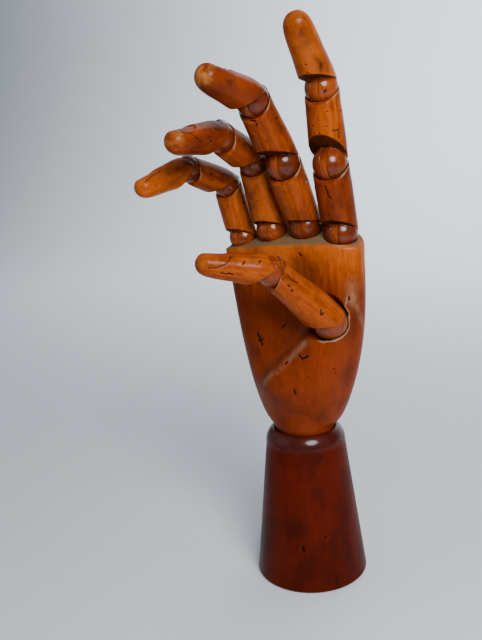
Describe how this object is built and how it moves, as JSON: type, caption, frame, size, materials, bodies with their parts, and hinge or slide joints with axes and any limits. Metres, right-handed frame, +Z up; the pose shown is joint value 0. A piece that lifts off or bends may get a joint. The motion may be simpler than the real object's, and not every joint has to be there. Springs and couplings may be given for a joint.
{
  "type": "jointed wooden hand figure",
  "caption": "Jointed wooden right hand on a turned foot: ball-and-cup knuckles with saw-cut cheeks, tongues and pins, slightly curled fingers and a swivelling thumb.",
  "frame": {"origin": "middle of the underside of the foot", "axes": "+Z up along the axis of the foot, -Y out of the palm, +X towards the thumb side of the hand"},
  "size_m": [0.0862, 0.1136, 0.2905],
  "materials": {
    "wood": "clear amber varnish, glossy and worn at the rims",
    "dark_wood": "dark red stain under glossy varnish",
    "pale_wood": "bare wood, worn",
    "steel": "plain wire, dulled"
  },
  "bodies": {
    "foot": {"foot": "dark_wood", "foot_brad": "steel"},
    "wrist_tongue": {"wrist_tongue": "pale_wood"},
    "palm": {"palm": "wood", "palm_brads": "steel", "wrist_pin": "steel", "index_tongue_a": "pale_wood", "middle_tongue_a": "pale_wood", "ring_tongue_a": "pale_wood", "little_tongue_a": "pale_wood"},
    "index_proximal": {"index_proximal": "wood", "index_pin_a": "steel", "index_tongue_b": "pale_wood", "index_brad_b": "steel"},
    "index_middle": {"index_middle": "wood", "index_pin_b": "steel", "index_tongue_c": "pale_wood", "index_brad_c": "steel"},
    "index_distal": {"index_distal": "wood", "index_pin_c": "steel"},
    "middle_proximal": {"middle_proximal": "wood", "middle_pin_a": "steel", "middle_tongue_b": "pale_wood", "middle_brad_b": "steel"},
    "middle_middle": {"middle_middle": "wood", "middle_pin_b": "steel", "middle_tongue_c": "pale_wood", "middle_brad_c": "steel"},
    "middle_distal": {"middle_distal": "wood", "middle_pin_c": "steel"},
    "ring_proximal": {"ring_proximal": "wood", "ring_pin_a": "steel", "ring_tongue_b": "pale_wood", "ring_brad_b": "steel"},
    "ring_middle": {"ring_middle": "wood", "ring_pin_b": "steel", "ring_tongue_c": "pale_wood", "ring_brad_c": "steel"},
    "ring_distal": {"ring_distal": "wood", "ring_pin_c": "steel"},
    "little_proximal": {"little_proximal": "wood", "little_pin_a": "steel", "little_tongue_b": "pale_wood", "little_brad_b": "steel"},
    "little_middle": {"little_middle": "wood", "little_pin_b": "steel", "little_tongue_c": "pale_wood", "little_brad_c": "steel"},
    "little_distal": {"little_distal": "wood", "little_pin_c": "steel"},
    "thumb_tongue": {"thumb_tongue_a": "pale_wood"},
    "thumb_proximal": {"thumb_proximal": "wood", "thumb_pin_a": "steel", "thumb_tongue_b": "pale_wood", "thumb_brad_b": "steel"},
    "thumb_distal": {"thumb_distal": "wood", "thumb_pin_b": "steel"}
  },
  "joints": [
    {"name": "wrist_swivel", "type": "hinge", "parent": "foot", "child": "wrist_tongue", "pos_m": [0, 0, 0.0867], "axis": [0, 0, 1], "continuous": true},
    {"name": "wrist_tilt", "type": "hinge", "parent": "wrist_tongue", "child": "palm", "pos_m": [0, 0, 0.0867], "axis": [1, 0, 0], "range_deg": [-13, 13]},
    {"name": "index_knuckle", "type": "hinge", "parent": "palm", "child": "index_proximal", "pos_m": [0.0256, 0, 0.1897], "axis": [0.9993, -0.0366, 0], "range_deg": [-13.8, 36.2]},
    {"name": "index_middle_joint", "type": "hinge", "parent": "index_proximal", "child": "index_middle", "pos_m": [0.02524, -0.00974, 0.22415], "axis": [0.9993, -0.0366, 0], "range_deg": [0, 71.9]},
    {"name": "index_end_joint", "type": "hinge", "parent": "index_middle", "child": "index_distal", "pos_m": [0.02502, -0.01581, 0.25892], "axis": [0.9993, -0.0366, 0], "range_deg": [-35.5, 48.5]},
    {"name": "middle_knuckle", "type": "hinge", "parent": "palm", "child": "middle_proximal", "pos_m": [0.0064, 0, 0.19365], "axis": [0.9969, -0.0785, 0], "range_deg": [-35.3, 20.7]},
    {"name": "middle_middle_joint", "type": "hinge", "parent": "middle_proximal", "child": "middle_middle", "pos_m": [0.00486, -0.01958, 0.22594], "axis": [0.9969, -0.0785, 0], "range_deg": [-12.5, 57.5]},
    {"name": "middle_end_joint", "type": "hinge", "parent": "middle_middle", "child": "middle_distal", "pos_m": [0.00297, -0.04364, 0.25491], "axis": [0.9969, -0.0785, 0], "range_deg": [-39.6, 44.4]},
    {"name": "ring_knuckle", "type": "hinge", "parent": "palm", "child": "ring_proximal", "pos_m": [-0.0129, 0, 0.19168], "axis": [0.9986, -0.0523, 0], "range_deg": [-25.4, 30.6]},
    {"name": "ring_middle_joint", "type": "hinge", "parent": "ring_proximal", "child": "ring_middle", "pos_m": [-0.01363, -0.01392, 0.22725], "axis": [0.9986, -0.0523, 0], "range_deg": [-49.5, 29.5]},
    {"name": "ring_end_joint", "type": "hinge", "parent": "ring_middle", "child": "ring_distal", "pos_m": [-0.0152, -0.04386, 0.24003], "axis": [0.9986, -0.0523, 0], "range_deg": [-28.9, 55.1]},
    {"name": "little_knuckle", "type": "hinge", "parent": "palm", "child": "little_proximal", "pos_m": [-0.03, 0, 0.18779], "axis": [0.9781, -0.2079, 0], "range_deg": [-23.2, 40.8]},
    {"name": "little_middle_joint", "type": "hinge", "parent": "little_proximal", "child": "little_middle", "pos_m": [-0.03208, -0.00978, 0.2165], "axis": [0.9781, -0.2079, 0], "range_deg": [-56.1, 27.9]},
    {"name": "little_end_joint", "type": "hinge", "parent": "little_middle", "child": "little_distal", "pos_m": [-0.03793, -0.0373, 0.22602], "axis": [0.9781, -0.2079, 0], "range_deg": [-34.5, 49.5]},
    {"name": "thumb_swivel", "type": "hinge", "parent": "palm", "child": "thumb_tongue", "pos_m": [0.0227, -0.012, 0.1462], "axis": [-0.2874, -0.5354, 0.7942], "range_deg": [-15, 35]},
    {"name": "thumb_knuckle", "type": "hinge", "parent": "thumb_tongue", "child": "thumb_proximal", "pos_m": [0.0227, -0.012, 0.1462], "axis": [0.6608, -0.7111, -0.2402], "range_deg": [-6, 34]},
    {"name": "thumb_end_joint", "type": "hinge", "parent": "thumb_proximal", "child": "thumb_distal", "pos_m": [0.00495, -0.03868, 0.17635], "axis": [0.6608, -0.7111, -0.2402], "range_deg": [-35.7, 38.3]}
  ]
}
